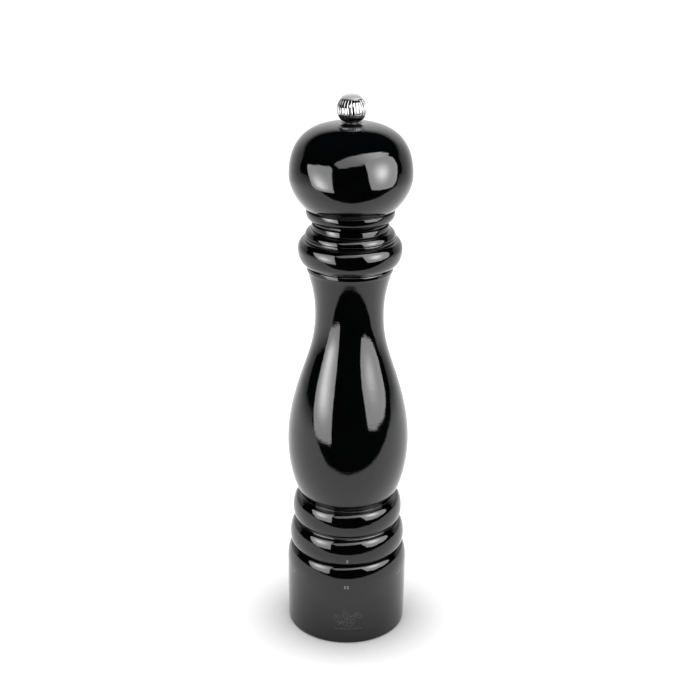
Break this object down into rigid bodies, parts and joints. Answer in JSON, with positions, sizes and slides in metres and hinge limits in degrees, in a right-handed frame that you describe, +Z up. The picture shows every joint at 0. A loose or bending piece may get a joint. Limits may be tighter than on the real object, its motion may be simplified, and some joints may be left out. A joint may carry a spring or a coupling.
{
  "type": "pepper mill",
  "caption": "Tall turned wooden pepper mill in black lacquer: twist the ball head to grind, turn the base ring to set the grind, screwed metal knob on top.",
  "frame": {"origin": "centre of the base ring's underside, on the surface the mill stands on", "axes": "+Z up along the turning axis; -Y is the front, where the index mark is; +X is to the right seen from the front"},
  "size_m": [0.0604, 0.0604, 0.27],
  "materials": {
    "black_lacquer": "high gloss black lacquer over turned beech",
    "chrome": "polished, fluted",
    "plated_steel": "zinc plated, satin",
    "burr_steel": "case hardened, matt grey",
    "spring_steel": "drawn wire and strip",
    "black_plastic": "moulded, fine grain"
  },
  "bodies": {
    "body": {"mill_body": "black_lacquer", "burr_housing": "plated_steel", "ring_burr": "burr_steel", "shaft_bridge": "plated_steel", "click_spring": "spring_steel", "housing_screw_1": "plated_steel", "housing_screw_2": "plated_steel", "housing_screw_3": "plated_steel"},
    "selector": {"base_ring": "black_lacquer", "ring_bush": "black_plastic", "adjuster_nut": "black_plastic", "nut_screw_1": "plated_steel", "nut_screw_2": "plated_steel", "nut_screw_3": "plated_steel"},
    "carrier": {"burr_carrier": "black_plastic"},
    "shaft": {"drive_shaft": "plated_steel", "shaft_collar": "plated_steel", "collar_pin": "plated_steel", "burr_spring": "spring_steel", "thrust_washer": "plated_steel"},
    "rotor": {"grinding_rotor": "burr_steel", "rotor_washer": "plated_steel"},
    "head": {"mill_head": "black_lacquer", "drive_plate": "plated_steel", "plate_screw_1": "plated_steel", "plate_screw_2": "plated_steel", "plate_screw_3": "plated_steel"},
    "knob_seat": {"knob_washer": "plated_steel"},
    "knob": {"knob": "chrome", "knob_cap": "chrome"}
  },
  "joints": [
    {"name": "head_turn", "type": "hinge", "parent": "body", "child": "shaft", "pos_m": [0, 0, 0.2107], "axis": [0, 0, 1], "continuous": true},
    {"name": "grind_select", "type": "hinge", "parent": "body", "child": "selector", "pos_m": [0, 0, 0.043], "axis": [0, 0, 1], "range_deg": [-240, 60]},
    {"name": "carrier_lift", "type": "slide", "parent": "body", "child": "carrier", "axis": [0, 0, 1], "range_m": [-0.00121, 0.00031]},
    {"name": "rotor_lift", "type": "slide", "parent": "shaft", "child": "rotor", "axis": [0, 0, 1], "range_m": [-0.00121, 0.00031], "deforming": ["burr_spring"]},
    {"name": "head_lift", "type": "slide", "parent": "shaft", "child": "head", "axis": [0, 0, 1], "range_m": [0, 0.085]},
    {"name": "knob_turn", "type": "hinge", "parent": "head", "child": "knob_seat", "pos_m": [0, 0, 0.2573], "axis": [0, 0, 1], "range_deg": [0, 2880]},
    {"name": "knob_rise", "type": "slide", "parent": "knob_seat", "child": "knob", "axis": [0, 0, 1], "range_m": [0, 0.0064]}
  ],
  "couplings": [
    {"joint": "carrier_lift", "follows": "grind_select", "m_per_rad": 0.00028648},
    {"joint": "rotor_lift", "follows": "grind_select", "m_per_rad": 0.00028648},
    {"joint": "knob_turn", "follows": "knob_rise", "rad_per_m": 7854}
  ]
}
